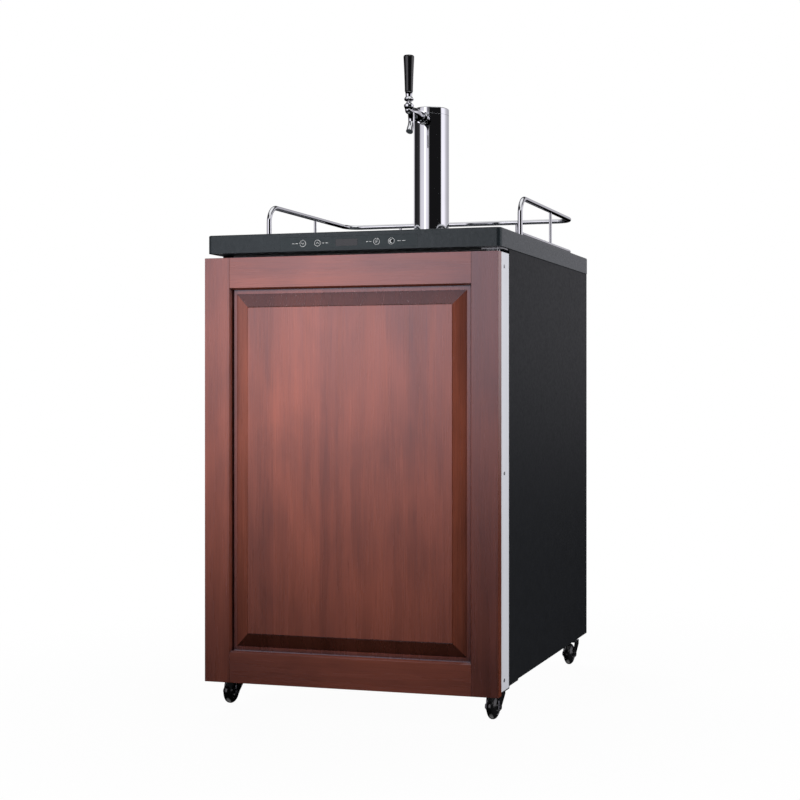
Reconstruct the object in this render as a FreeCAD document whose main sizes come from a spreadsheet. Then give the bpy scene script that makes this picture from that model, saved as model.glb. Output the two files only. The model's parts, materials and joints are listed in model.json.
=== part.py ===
"""Kegerator: a one-tap beer dispenser with a framed wooden door, on four casters.

Millimetres. +Z is up, the door faces -Y and the hinge side is +X. The origin is on the floor, under
the middle of the bounding box. Every size is a word in the Dims sheet, and each sub-part is an
object of the document whose sizes are expressions of those words.
"""
import FreeCAD, Part

import os
import re

import Sketcher

DIMENSIONS = {
    # whole cabinet: depths run from the door's face at the front to the worktop's rear edge
    "front": -340, "rear": 340,
    "worktop_width": 592, "worktop_front": -328, "worktop_top": 908, "worktop_thick": 35,
    "worktop_corner": 9, "worktop_edge": 2.5,
    "cabinet_width": 588, "cabinet_front": -268, "cabinet_rear": 337, "cabinet_base": 62,
    "gauge": 1.2, "return_width": 22, "pan_gauge": 2,
    # keg space and machine space
    "liner_side": 250, "liner_wall": 2, "liner_back": 292, "liner_floor": 112, "liner_roof": 832,
    "hump_front": 150, "hump_top": 344, "machine_front": 180, "machine_top": 300,
    "keg_floor_gauge": 3, "keg_floor_side": 244,
    "gas_x": 200, "gas_z": 760, "gas_bore": 5, "grommet_radius": 11.9, "grommet_flange": 16,
    "lead_radius": 9, "lead_z": 90,
    "plate_side": 184, "plate_low": 400, "plate_high": 780, "channel_radius": 2.2,
    "compressor_x": -175, "compressor_y": 258, "compressor_radius": 60,
    "coil_left": 82, "coil_right": 240, "coil_front": 225, "coil_rear": 290, "coil_radius": 4,
    "fin_gauge": 1.2,
    # door
    "door_width": 590, "door_base": 51, "door_top": 863, "wood_thick": 19,
    "stile_width": 52, "rail_width": 58, "sticking": 3, "sticking_depth": 5, "rabbet": 6,
    "groove": 11, "groove_depth": 10, "panel_edge": 6, "panel_bevel": 26.5, "panel_inset": 2,
    "panel_step": 1.4, "panel_play": 1,
    "door_rear": -274, "trim_base": 58, "trim_wall": 1.6, "trim_lip": 9,
    "liner_gauge": 2, "door_dish_side": 225, "door_dish_depth": 12,
    "gasket_side": 268, "gasket_width": 14, "gasket_play": 0.4,
    "hinge_x": 281, "hinge_y": -297, "hinge_pin": 4, "bush_play": 0.06, "bracket_gauge": 3,
    # controls in the worktop's front edge
    "fascia_left": -143, "fascia_right": 135, "fascia_base": 875.5, "fascia_height": 24,
    "fascia_gauge": 2.5, "key_z": 887.5, "key_radius": 6.8, "key_play": 0.3, "key_gauge": 3,
    "window_x": -7, "window_width": 44, "window_height": 13,
    "down_x": -96, "up_x": -66, "unit_x": 53.5, "night_x": 83,
    # draft tower and tap
    "tower_y": 121, "tower_radius": 38.1, "tower_wall": 1.5, "tower_top": 1220, "cap_height": 15,
    "flange_radius": 51, "flange_thick": 6, "duct_radius": 28,
    "tap_y": -17, "tap_z": 1192, "pivot_z": 1203, "shank_radius": 11, "line_radius": 4,
    "spout_radius": 6.2,
    # guard rail
    "rail_side": 270, "rail_front": -115, "rail_back": 300, "rail_z": 990, "rail_radius": 5,
    "rail_bend": 34, "low_rail_z": 918.5, "low_rail_radius": 4, "upright_radius": 3,
    "upright_side_y": 113, "upright_back_x": 140,
    # drip tray
    "tray_width": 210, "tray_depth": 130, "tray_y": -42, "tray_height": 20, "tray_wall": 1.5,
    "tray_recess": 2,
    # casters
    "caster_x": 268, "caster_front": -256, "caster_back": 310, "caster_trail": 28,
    "wheel_radius": 23, "wheel_width": 20, "fork_top": 50, "fork_gauge": 2, "king_pin": 4,
    "caster_plate": 24,
}

KEYS = {"key_down": "down_x", "key_up": "up_x", "key_unit": "unit_x", "key_night": "night_x"}
CASTERS = {"front_left": ("-caster_x", "caster_front"), "front_right": ("caster_x", "caster_front"),
           "rear_left": ("-caster_x", "caster_back"), "rear_right": ("caster_x", "caster_back")}
TURN = {
    "z": FreeCAD.Rotation(),
    "y": FreeCAD.Rotation(FreeCAD.Vector(1, 0, 0), -90),
    "-y": FreeCAD.Rotation(FreeCAD.Vector(1, 0, 0), 90),
    "x": FreeCAD.Rotation(FreeCAD.Vector(0, 1, 0), 90),
}

document = FreeCAD.newDocument("Kegerator")
dims = document.addObject("Spreadsheet::Sheet", "Dims")
for row, (word, number) in enumerate(DIMENSIONS.items(), start=1):
    dims.set(f"A{row}", word)
    dims.set(f"B{row}", str(number))
    dims.setAlias(f"B{row}", word)
document.recompute()
nodes = []


# ---------------------------------------------------------------- building helpers
def linked(text):
    """The expression with each dimension word pointed at the sheet."""
    return re.sub(r"[a-z_]{2,}", lambda found: "Dims." + found.group(), str(text))


def number(text):
    return float(dims.evalExpression(str(text)))


def bind(thing, **expressions):
    for prop, text in expressions.items():
        thing.setExpression(prop, linked(text))
    return thing


def place(thing, at, turn=TURN["z"]):
    thing.Placement = FreeCAD.Placement(FreeCAD.Vector(*[number(a) for a in at]), turn)
    for axis, text in zip("xyz", at):
        thing.setExpression(f".Placement.Base.{axis}", linked(text))
    return thing


def block(x, y, z):
    """A box between two planes on each axis."""
    thing = document.addObject("Part::Box", "Block")
    bind(thing, Length=f"({x[1]})-({x[0]})", Width=f"({y[1]})-({y[0]})", Height=f"({z[1]})-({z[0]})")
    return place(thing, (x[0], y[0], z[0]))


def rod(radius, length, at, along="z"):
    thing = document.addObject("Part::Cylinder", "Rod")
    bind(thing, Radius=radius, Height=length)
    return place(thing, at, TURN[along])


def cone(low, high, length, at, along="z"):
    thing = document.addObject("Part::Cone", "Cone")
    bind(thing, Radius1=low, Radius2=high, Height=length)
    return place(thing, at, TURN[along])


def ball(radius, at):
    thing = document.addObject("Part::Sphere", "Ball")
    bind(thing, Radius=radius)
    return place(thing, at)


def bend(sweep, radius, at, turn, angle=90):
    """Part of a torus about its own Z axis, from its own +X axis towards +Y."""
    thing = document.addObject("Part::Torus", "Bend")
    bind(thing, Radius1=sweep, Radius2=radius)
    thing.Angle3 = angle
    return place(thing, at, turn)


def frustum(low, high, y, at=("0", "0", "0")):
    """A solid between rectangle low at y[0] and rectangle high at y[1]; each is (x0, x1, z0, z1)."""
    thing = document.addObject("Part::Wedge", "Frustum")
    thing.Xmax, thing.Ymax, thing.Zmax, thing.X2max, thing.Z2max = 1000, 1000, 2000, 900, 1900
    bind(thing, Xmin=low[0], Xmax=low[1], Zmin=low[2], Zmax=low[3], Ymin=y[0], Ymax=y[1],
         X2min=high[0], X2max=high[1], Z2min=high[2], Z2max=high[3])
    return place(thing, at)


def joined(*things):
    thing = document.addObject("Part::MultiFuse", "Joined")
    thing.Shapes = list(things)
    return thing


def grouped(*things):
    """Separate solids that share one sub-part."""
    thing = document.addObject("Part::Compound", "Group")
    thing.Links = list(things)
    return thing


def less(base, *tools):
    thing = document.addObject("Part::Cut", "Less")
    thing.Base = base
    thing.Tool = tools[0] if len(tools) == 1 else joined(*tools)
    return thing


def common(first, second):
    thing = document.addObject("Part::Common", "Common")
    thing.Base, thing.Tool = first, second
    return thing


def rounded(base, radius, wanted):
    """Fillets the edges for which wanted(edge) is true."""
    document.recompute()
    thing = document.addObject("Part::Fillet", "Rounded")
    thing.Base = base
    size = number(radius)
    thing.Edges = [(i, size, size) for i, edge in enumerate(base.Shape.Edges, start=1) if wanted(edge)]
    return thing


def upright(edge):
    box = edge.BoundBox
    return box.XLength < 0.01 and box.YLength < 0.01


def at_height(text):
    level = number(text)
    return lambda edge: abs(edge.BoundBox.ZMin - level) < 0.01 and abs(edge.BoundBox.ZMax - level) < 0.01


def sketched(points, plane):
    """A body with one closed outline, each corner held by two expressions."""
    body = document.addObject("PartDesign::Body", "Body")
    sketch = body.newObject("Sketcher::SketchObject", "Outline")
    origin_plane = [o for o in body.Origin.OriginFeatures if o.Role == plane][0]
    sketch.AttachmentSupport = [(origin_plane, "")]
    sketch.MapMode = "FlatFace"
    corners = [FreeCAD.Vector(number(p), number(q), 0) for p, q in points]
    count = len(corners)
    for i in range(count):
        sketch.addGeometry(Part.LineSegment(corners[i], corners[(i + 1) % count]), False)
    for i in range(count):
        sketch.addConstraint(Sketcher.Constraint("Coincident", i, 2, (i + 1) % count, 1))
    for i, (p, q) in enumerate(points):
        for kind, text, value in (("DistanceX", p, corners[i].x), ("DistanceY", q, corners[i].y)):
            index = sketch.addConstraint(Sketcher.Constraint(kind, -1, 1, i, 1, value))
            sketch.setExpression(f"Constraints[{index}]", linked(text))
    return body, sketch


def turned(points, at, along="z"):
    """A solid of revolution. Each point is (radius, height along the axis)."""
    body, sketch = sketched(points, "XZ_Plane")
    feature = body.newObject("PartDesign::Revolution", "Turned")
    feature.Profile = sketch
    feature.ReferenceAxis = (sketch, ["V_Axis"])
    feature.Angle = 360
    return place(body, at, TURN[along])


def padded(points, plane, length, at, midplane=False):
    body, sketch = sketched(points, plane)
    feature = body.newObject("PartDesign::Pad", "Pad")
    feature.Profile = sketch
    feature.Midplane = midplane
    bind(feature, Length=length)
    return place(body, at)


def node(label, thing):
    thing.Label = label
    nodes.append(thing)
    return thing


def rectangle(side, low, high):
    return (f"-({side})", side, low, high)


# ---------------------------------------------------------------- cabinet
def cabinet():
    half, front, back = "cabinet_width/2", "cabinet_front", "cabinet_rear"
    top = "worktop_top-worktop_thick"
    for name, sign in (("side_panel_left", "-"), ("side_panel_right", "")):
        wall = [f"{sign}({half})", f"{sign}({half}-gauge)"]
        lip = [f"{sign}({half})", f"{sign}({half}-return_width)"]
        if not sign:
            wall.reverse()
            lip.reverse()
        node(name, joined(block(wall, (front, back), ("cabinet_base", top)),
                          block(lip, (front, f"{front}+gauge"), ("cabinet_base", top))))
    inner = "cabinet_width/2-gauge"
    gas_hole = rod("grommet_radius+0.1", "60", ("gas_x", "cabinet_rear-55", "gas_z"), "y")
    node("rear_panel", less(block((f"-({inner})", inner), ("cabinet_rear-gauge", back),
                                  ("machine_top", top)), gas_hole))
    cover = block((f"-({inner})", inner), ("cabinet_rear-gauge", back),
                  ("cabinet_base+pan_gauge", "machine_top"))
    slots = [block((f"{x}", f"{x}+70"), ("cabinet_rear-5", "cabinet_rear+5"), (f"{z}", f"{z}+4"))
             for x in (-240, -155, 85, 170) for z in range(110, 261, 15)]
    lead_hole = rod("lead_radius", "20", ("0", "cabinet_rear-10", "lead_z"), "y")
    node("compressor_cover", less(cover, lead_hole, *slots))
    pan = joined(
        block((f"-({inner})", inner), (f"{front}+gauge", "cabinet_rear-gauge"),
              ("cabinet_base", "cabinet_base+pan_gauge")),
        block((f"-({inner})", inner), ("machine_front-2*gauge", "machine_front-gauge"),
              ("cabinet_base+pan_gauge", "cabinet_base+20")))
    node("base_pan", pan)
    tube_start = "liner_back-liner_wall"
    node("gas_line_grommet", less(
        joined(rod("grommet_radius", f"cabinet_rear-({tube_start})", ("gas_x", tube_start, "gas_z"), "y"),
               rod("grommet_flange", "2.9", ("gas_x", "cabinet_rear", "gas_z"), "y")),
        gas_line("gas_bore")))


def gas_line(radius):
    """The straight way of the gas line through the back of the cabinet."""
    return rod(radius, "80", ("gas_x", "liner_back-20", "gas_z"), "y")


def keg_space():
    """Foam, the white tub inside it and the plate that the keg stands on."""
    inner, top = "cabinet_width/2-gauge", "worktop_top-worktop_thick"
    skin_front = "cabinet_front+liner_wall"

    def tub(grow):
        """The keg space with the step over the machine space, grown outwards by the wall."""
        side, back = f"liner_side-liner_wall+{grow}", f"liner_back-liner_wall+{grow}"
        low, high = f"liner_floor+liner_wall-{grow}", f"liner_roof-liner_wall+{grow}"
        tall = block((f"-({side})", side), ("cabinet_front-1", f"hump_front-liner_wall+{grow}"), (low, high))
        deep = block((f"-({side})", side), ("hump_front-40", back), (f"hump_top+liner_wall-{grow}", high))
        return joined(tall, deep)

    def duct():
        return rod("duct_radius", "80", ("0", "tower_y", "liner_roof-20"))

    floor, rear = "cabinet_base+pan_gauge", "cabinet_rear-gauge"
    pocket = block(("-(plate_side+2)", "plate_side+2"), ("liner_back", "liner_back+6"),
                   ("plate_low-2", "plate_high+2"))
    pan_lip = block((f"-({inner})", inner), ("machine_front-2*gauge", "machine_front"),
                    ("cabinet_base", "cabinet_base+20"))
    boards = []
    for sign in ("-", ""):
        span = [f"{sign}({inner})", f"{sign}(liner_side)"]
        if not sign:
            span.reverse()
        boards += [block(span, (skin_front, "machine_front-2*gauge"), (floor, "machine_top")),
                   block(span, (skin_front, rear), ("machine_top", top))]
    between = ("-liner_side", "liner_side")
    boards += [
        block(between, (skin_front, "hump_front"), (floor, "liner_floor")),
        less(block(between, ("hump_front", "machine_front"), (floor, "machine_top")), pan_lip),
        block(between, ("hump_front", rear), ("machine_top", "hump_top")),
        less(block(between, ("liner_back", rear), ("hump_top", top)), gas_line("grommet_radius"), pocket),
        less(block(between, (skin_front, "liner_back"), ("liner_roof", top)), duct())]
    node("insulation", grouped(*boards))
    flange_side = "cabinet_width/2-return_width-0.3"
    flange = block((f"-({flange_side})", flange_side), ("cabinet_front", skin_front),
                   ("cabinet_base+pan_gauge", top))
    node("inner_liner", less(joined(tub("liner_wall"), flange), tub("0"), duct(),
                             block(("-400", "400"), ("cabinet_front-30", "cabinet_front"), ("0", "1000")),
                             gas_line("grommet_radius")))
    node("keg_floor", block(("-keg_floor_side", "keg_floor_side"),
                            ("cabinet_front+8", "hump_front-liner_wall-4"),
                            ("liner_floor+liner_wall", "liner_floor+liner_wall+keg_floor_gauge")))
    plate = block(("-plate_side", "plate_side"), ("liner_back", "liner_back+1.5"),
                  ("plate_low", "plate_high"))
    channels = [rod("channel_radius", "2*plate_side-28", ("-(plate_side-14)", "liner_back+2.4",
                                                          f"plate_low+{rise}"), "x")
                for rise in range(30, 361, 55)]
    node("evaporator", joined(plate, *channels))


def machine_space():
    """Compressor and condenser, behind the step of the keg space."""
    base = "cabinet_base+pan_gauge"
    x, y, r = "compressor_x", "compressor_y", "compressor_radius"
    shell = turned([("0", "0"), (f"{r}-2", "0"), (r, "6"), (r, "100"), (f"{r}-8", "124"), (f"{r}/2", "136"),
                    ("0", "138")], (x, y, f"{base}+22"))
    bar = block((f"{x}-{r}-30", f"{x}+{r}+30"), (f"{y}-{r}+2", f"{y}+{r}-2"), (f"{base}+19", f"{base}+22"))
    feet = [rod("9", "19", (f"{x}+({dx})", f"{y}+({dy})", base))
            for dx in (f"-{r}-18", f"{r}+18") for dy in (f"-{r}+12", f"{r}-12")]
    terminal = block((f"{x}+{r}-3", f"{x}+{r}+15"), (f"{y}-20", f"{y}+20"), (f"{base}+50", f"{base}+90"))
    node("compressor", joined(shell, bar, terminal, *feet))

    rows = [f"{base}+{rise}" for rise in (31, 71, 111)]
    middle = "(coil_front+coil_rear)/2"
    fins = [block((f"coil_left+{step}", f"coil_left+{step}+fin_gauge"), ("coil_front-27", "coil_rear+28"),
                  (f"{base}+12", f"{base}+152")) for step in range(8, 149, 10)]
    tubes = [rod("coil_radius", "coil_right-coil_left", ("coil_left", y, z), "x")
             for y in ("coil_front", "coil_rear") for z in rows]
    ends = [bend("(coil_rear-coil_front)/2", "coil_radius", (x, middle, z),
                 FreeCAD.Rotation(FreeCAD.Vector(0, 0, 1), angle), 180)
            for z in rows for x, angle in (("coil_right", -90), ("coil_left", 90))]
    stand = block(("coil_left+2", "coil_right-2"), (f"{middle}-8", f"{middle}+8"), (base, f"{base}+14"))
    node("condenser", joined(stand, *fins, *tubes, *ends))


# ---------------------------------------------------------------- worktop and controls
def worktop():
    base = "worktop_top-worktop_thick"
    slab = block(("-worktop_width/2", "worktop_width/2"), ("worktop_front", "rear"), (base, "worktop_top"))
    slab = rounded(slab, "worktop_corner", upright)
    slab = rounded(slab, "worktop_edge", at_height("worktop_top"))
    pocket = block(("fascia_left", "fascia_right"), ("worktop_front-1", "worktop_front+fascia_gauge"),
                   ("fascia_base", "fascia_base+fascia_height"))
    cavity = block(("fascia_left+6", "fascia_right-6"), ("worktop_front", "worktop_front+26"),
                   ("fascia_base+2.5", "fascia_base+fascia_height-2.5"))
    recess = block(("-tray_width/2-0.5", "tray_width/2+0.5"),
                   ("tray_y-tray_depth/2-0.5", "tray_y+tray_depth/2+0.5"),
                   ("worktop_top-tray_recess", "worktop_top+1"))
    screw_holes = [rod("2.2", "30", (x, y, "worktop_top-14")) for x, y in tower_screw_places()]
    node("worktop", less(slab, pocket, cavity, recess, *screw_holes,
                         rod("duct_radius", "80", ("0", "tower_y", f"{base}-20"))))


def controls():
    front, middle = "worktop_front", "fascia_base+fascia_height/2"
    plate = block(("fascia_left+0.2", "fascia_right-0.2"), (front, f"{front}+fascia_gauge"),
                  ("fascia_base+0.2", "fascia_base+fascia_height-0.2"))
    holes = [rod("key_radius+key_play", "10", (x, f"{front}-5", "key_z"), "y") for x in KEYS.values()]

    def opening(shrink, depth):
        return block((f"window_x-window_width/2+{shrink}", f"window_x+window_width/2-{shrink}"),
                     (front, f"{front}+{depth}"),
                     (f"key_z-window_height/2+{shrink}", f"key_z+window_height/2-{shrink}"))

    node("control_fascia", less(plate, opening("0", "5"), *holes))
    node("display_window", opening("0.1", "3.5"))
    for name, x in KEYS.items():
        cap = rod("key_radius", "key_gauge", (x, front, "key_z"), "y")
        skirt = rod("key_radius+1.4", "1.2", (x, f"{front}+fascia_gauge+0.4", "key_z"), "y")
        stem = rod("1.6", "3", (x, f"{front}+key_gauge", "key_z"), "y")
        node(name, joined(cap, skirt, stem))
    board = block(("fascia_left+10", "fascia_right-10"), (f"{front}+12", f"{front}+13.6"),
                  ("key_z-8", "key_z+8"))
    contacts = [block((f"{x}-3", f"{x}+3"), (f"{front}+7.6", f"{front}+12"), ("key_z-3", "key_z+3"))
                for x in KEYS.values()]
    digits = block(("window_x-18", "window_x+18"), (f"{front}+4.5", f"{front}+12"),
                   ("key_z-5.5", "key_z+5.5"))
    spacers = [block((f"{x}-2", f"{x}+2"), (f"{front}+13.6", f"{front}+26"), (f"{middle}-4", f"{middle}+4"))
               for x in ("fascia_left+16", "fascia_right-16")]
    node("control_board", joined(board, digits, *contacts, *spacers))


def drip_tray():
    x, y = "tray_width/2", "tray_depth/2"
    floor = "worktop_top-tray_recess"

    def pan(wall, low, high):
        return block((f"-({x})+{wall}", f"{x}-{wall}"), (f"tray_y-{y}+{wall}", f"tray_y+{y}-{wall}"),
                     (low, high))

    shell = rounded(pan("0", floor, f"{floor}+tray_height"), "8", upright)
    node("drip_tray", less(shell, pan("tray_wall", f"{floor}+tray_wall", f"{floor}+60"),
                           pan("-5", f"{floor}+tray_height", f"{floor}+60")))
    ledge = f"{floor}+tray_height"
    sheet = pan("3", f"{ledge}-3", f"{ledge}-1.5")
    feet = [rod("3", "tray_height-tray_wall-3",
                (f"{sx}*({x}-16)", f"tray_y+{sy}*({y}-16)", f"{floor}+tray_wall"))
            for sx in (-1, 1) for sy in (-1, 1)]
    slots = [block((f"{sx}*46-36", f"{sx}*46+36"), (f"tray_y+{dy}", f"tray_y+{dy}+5"), (f"{ledge}-9", ledge))
             for sx in (-1, 1) for dy in range(-48, 45, 11)]
    node("drip_grille", joined(less(sheet, *slots), *feet))


def guard_rail():
    """Two bent tubes: a tall one with its front ends on the worktop, a low one with uprights."""
    top, z = "worktop_top", "rail_z"
    flip = FreeCAD.Rotation
    parts = []
    for sign, corner_turn in ((-1, 90), (1, 0)):
        x = f"{sign}*rail_side"
        parts += [
            rod("rail_radius", f"{z}-rail_bend-({top})", (x, "rail_front", top)),
            bend("rail_bend", "rail_radius", (x, "rail_front+rail_bend", f"{z}-rail_bend"),
                 flip(FreeCAD.Vector(0, 0, 1), 90) * flip(FreeCAD.Vector(1, 0, 0), 90)
                 * flip(FreeCAD.Vector(0, 0, 1), 90)),
            rod("rail_radius", "rail_back-rail_front-2*rail_bend", (x, "rail_front+rail_bend", z), "y"),
            bend("rail_bend", "rail_radius", (f"{sign}*(rail_side-rail_bend)", "rail_back-rail_bend", z),
                 flip(FreeCAD.Vector(0, 0, 1), corner_turn)),
            rod("10", "3", (x, "rail_front", top)),
        ]
    parts.append(rod("rail_radius", "2*(rail_side-rail_bend)",
                     ("-(rail_side-rail_bend)", "rail_back", z), "x"))
    node("guard_rail_upper", joined(*parts))

    low = "low_rail_z"
    tubes = []
    for sign, corner_turn in ((-1, 90), (1, 0)):
        x = f"{sign}*rail_side"
        tubes += [
            rod("low_rail_radius", "rail_back-rail_bend-rail_front-rail_radius",
                (x, "rail_front+rail_radius", low), "y"),
            bend("rail_bend", "low_rail_radius",
                 (f"{sign}*(rail_side-rail_bend)", "rail_back-rail_bend", low),
                 flip(FreeCAD.Vector(0, 0, 1), corner_turn)),
            rod("upright_radius", f"{z}-rail_radius-({low})", (x, "upright_side_y", low)),
            rod("upright_radius", f"{z}-rail_radius-({low})", (f"{sign}*upright_back_x", "rail_back", low)),
            rod("upright_radius", f"{low}-({top})", (x, "upright_side_y", top)),
            rod("upright_radius", f"{low}-({top})", (f"{sign}*upright_back_x", "rail_back", top)),
        ]
    tubes.append(rod("low_rail_radius", "2*(rail_side-rail_bend)",
                     ("-(rail_side-rail_bend)", "rail_back", low), "x"))
    node("guard_rail_lower", joined(*tubes))


# ---------------------------------------------------------------- draft tower and tap
def tower_screw_places():
    return [(f"{dx}", f"tower_y+{dy}") for dx in (-31, 31) for dy in (-31, 31)]


def tower():
    base = "worktop_top+flange_thick"
    cap_base = "tower_top-cap_height"
    inner = "tower_radius-tower_wall"
    holes = [rod("2.2", "20", (x, y, "worktop_top-5")) for x, y in tower_screw_places()]
    plate = turned([("duct_radius-2", "0"), ("flange_radius", "0"), ("flange_radius", "flange_thick-2"),
                    ("flange_radius-2", "flange_thick"), (inner, "flange_thick"), (inner, "flange_thick+12"),
                    (f"{inner}-2", "flange_thick+12"), (f"{inner}-2", "flange_thick"),
                    ("duct_radius-2", "flange_thick")], ("0", "tower_y", "worktop_top"))
    node("tower_flange", less(plate, *holes))
    node("tower_screws", grouped(*[
        turned([("0", "-12"), ("2.1", "-12"), ("2.1", "6"), ("4.4", "6"), ("4.2", "7.6"), ("2.6", "8.6"),
                ("0", "8.9")], (x, y, "worktop_top")) for x, y in tower_screw_places()]))
    tube = less(rod("tower_radius", f"{cap_base}-({base})", ("0", "tower_y", base)),
                rod(inner, "400", ("0", "tower_y", f"{base}-20")),
                rod("shank_radius+0.35", "60", ("0", "tower_y-60", "tap_z"), "y"))
    node("tower_column", tube)
    node("tower_cap", turned([
        ("0", "cap_height"), ("tower_radius-3", "cap_height"), ("tower_radius-0.9", "cap_height-0.9"),
        ("tower_radius", "cap_height-3"), ("tower_radius", "0.6"), ("tower_radius-0.6", "0"),
        (f"{inner}-2", "0"), (f"{inner}-2", "cap_height-3"), ("0", "cap_height-3")],
        ("0", "tower_y", cap_base)))


def tap():
    """Shank, faucet and lever. The faucet's axis runs along Y; the lever tips about X."""
    y, z = "tap_y", "tap_z"
    tower_face = "tower_y-tower_radius"
    shank = joined(
        rod("8", f"tower_y-12-({tower_face})+26", ("0", f"{tower_face}-26", z), "y"),
        rod("shank_radius", f"tower_y-12-({tower_face})+11.6", ("0", f"{tower_face}-11.6", z), "y"),
        rod("13", "8", ("0", f"{tower_face}-5", z), "y"))
    post = rod("tower_radius", "60", ("0", "tower_y", f"{z}-30"))
    hollow = rod("tower_radius-tower_wall", "70", ("0", "tower_y", f"{z}-35"))
    nut = block(("-15", "15"), (f"{tower_face}+2", f"{tower_face}+16"), (f"{z}-12.6", f"{z}+12.6"))
    outer = less(shank, less(post, rod("shank_radius", "90", ("0", "tower_y-90", z), "y")))
    way = rod("line_radius", "120", ("0", f"{tower_face}-30", z), "y")
    node("shank", less(joined(outer, common(nut, hollow)), way))
    notches = [rod("2", "20", (f"{dx}", f"{tower_face}-30", f"{z}+{dz}"), "y")
               for dx in (-10, 10) for dz in (-10, 10)]
    node("coupling_nut", less(turned([
        ("10.5", "0"), ("13", "0"), ("14.2", "1.2"), ("14.2", "5"), ("13.4", "5.8"), ("13.4", "9"),
        ("14.2", "9.8"), ("14.2", "13"), ("13", "14.2"), ("8.05", "14.2"), ("8.05", "7"), ("10.5", "7")],
        ("0", f"{tower_face}-26", z), "y"), *notches))
    mouth = f"{tower_face}-26-({y})"
    barrel = turned([
        ("0", "-9.6"), ("3.6", "-8.8"), ("6.6", "-6"), ("8.2", "-1.5"), ("8.4", "2"), ("8.4", "14"),
        ("11.2", "22"), ("12.2", "34"), ("12.2", f"{mouth}-12"), ("10.3", f"{mouth}-8"),
        ("10.3", f"{mouth}+6.9"), ("0", f"{mouth}+6.9")], ("0", y, z), "y")
    seat = rod("10.3", f"pivot_z-1.5-({z})+2.5", ("0", y, f"{z}-2.5"))
    spout_y = f"{y}+12"
    neck = rod("spout_radius", "20", ("0", spout_y, f"{z}-22"))

    def curl(radius, sweep):
        turn = (FreeCAD.Rotation(FreeCAD.Vector(0, 0, 1), 90)
                * FreeCAD.Rotation(FreeCAD.Vector(1, 0, 0), -90))
        return bend("40", radius, ("0", f"{spout_y}-40", f"{z}-22"), turn, sweep)

    bore = [rod("5.3", "34", ("0", f"{y}-7", z), "y"), rod("7.6", "30", ("0", f"{y}+20", z), "y"),
            rod("6", f"{mouth}", ("0", f"{y}+30", z), "y"),
            rod("8.6", f"{mouth}-42+8", ("0", f"{y}+54", z), "y"),
            rod("5.6", "14", ("0", y, f"{z}+1")),
            rod("spout_radius-1.8", "22", ("0", spout_y, f"{z}-22")), curl("spout_radius-1.8", 33)]
    node("faucet_body", less(joined(barrel, seat, neck, curl("spout_radius", 32)), *bore))
    dome = turned([("6.2", "-1.5"), ("10.3", "-1.5"), ("10.3", "0.6"), ("9.6", "1.4"), ("8", "1.4"),
                   ("7.4", "3.4"), ("5.8", "5.6"), ("3.4", "7.2"), ("3.4", "4.8"), ("4.9", "3.3"),
                   ("5.8", "0.6")], ("0", y, "pivot_z"))
    slot = block(("-3.4", "3.4"), (f"{y}-12", y), ("pivot_z+1.8", "pivot_z+12"))
    node("faucet_bonnet", less(dome, slot))


def lever():
    y = "tap_y"
    stem = joined(ball("5.2", ("0", y, "pivot_z")), rod("3", "26", ("0", y, "pivot_z")),
                  rod("1.8", "10.4", ("0", y, "pivot_z-10.4")), ball("2.5", ("0", y, "pivot_z-10.6")),
                  turned([("0", "8.6"), ("6.5", "8.6"), ("8.9", "9.8"), ("9.9", "12"), ("9.6", "14"),
                          ("8", "16.6"), ("0", "16.6")], ("0", y, "pivot_z")))
    node("faucet_lever", stem)
    node("handle_ferrule", turned([
        ("3", "0"), ("6.6", "0"), ("7", "1"), ("7.2", "8.6"), ("8", "11.4"), ("3", "11.4")],
        ("0", y, "pivot_z+16.6")))
    handle = turned([("0", "0"), ("8.5", "0"), ("8.7", "6"), ("9.4", "36"), ("11", "67"), ("11.3", "72"),
                     ("10.9", "75"), ("9.4", "76"), ("0", "76")], ("0", y, "pivot_z+28"))
    node("tap_handle", less(handle, rod("3.01", "1", ("0", y, "pivot_z+27.5"))))
    slide = joined(rod("5", "13", ("0", f"{y}-6.5", "tap_z"), "y"),
                   rod("2.6", "43", ("0", f"{y}+6", "tap_z"), "y"),
                   cone("4", "7.4", "3", ("0", f"{y}+54.3", "tap_z"), "y"),
                   rod("2.6", "14", ("0", f"{y}+44", "tap_z"), "y"),
                   rod("7.4", "3", ("0", f"{y}+57.3", "tap_z"), "y"))
    socket = block(("-5.5", "5.5"), (f"{y}-2.9", f"{y}+2.9"), ("tap_z-3.1", "tap_z+6"))
    relief = block(("-5.5", "5.5"), (f"{y}-4.6", f"{y}+2.9"), ("tap_z+1.5", "tap_z+6"))
    node("valve_shaft", less(slide, socket, relief))


def beer_line():
    """From the shank's tail, over one bend and down the tower into the keg space."""
    tail, drop = "tower_y-12", "12"
    downwards = (FreeCAD.Rotation(FreeCAD.Vector(0, 0, 1), 90)
                 * FreeCAD.Rotation(FreeCAD.Vector(1, 0, 0), 90))
    quarter = bend(drop, "line_radius", ("0", tail, f"tap_z-{drop}"), downwards)
    down = rod("line_radius", f"tap_z-{drop}-790", ("0", "tower_y", "790"))
    nut = turned([("0", "0"), ("9", "0"), ("10", "1"), ("10", "13"), ("8", "15"), ("0", "15")],
                 ("0", "tower_y", "776"))
    node("beer_line", less(joined(quarter, down, nut), rod("6.5", "12", ("0", "tower_y", "774"))))


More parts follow.
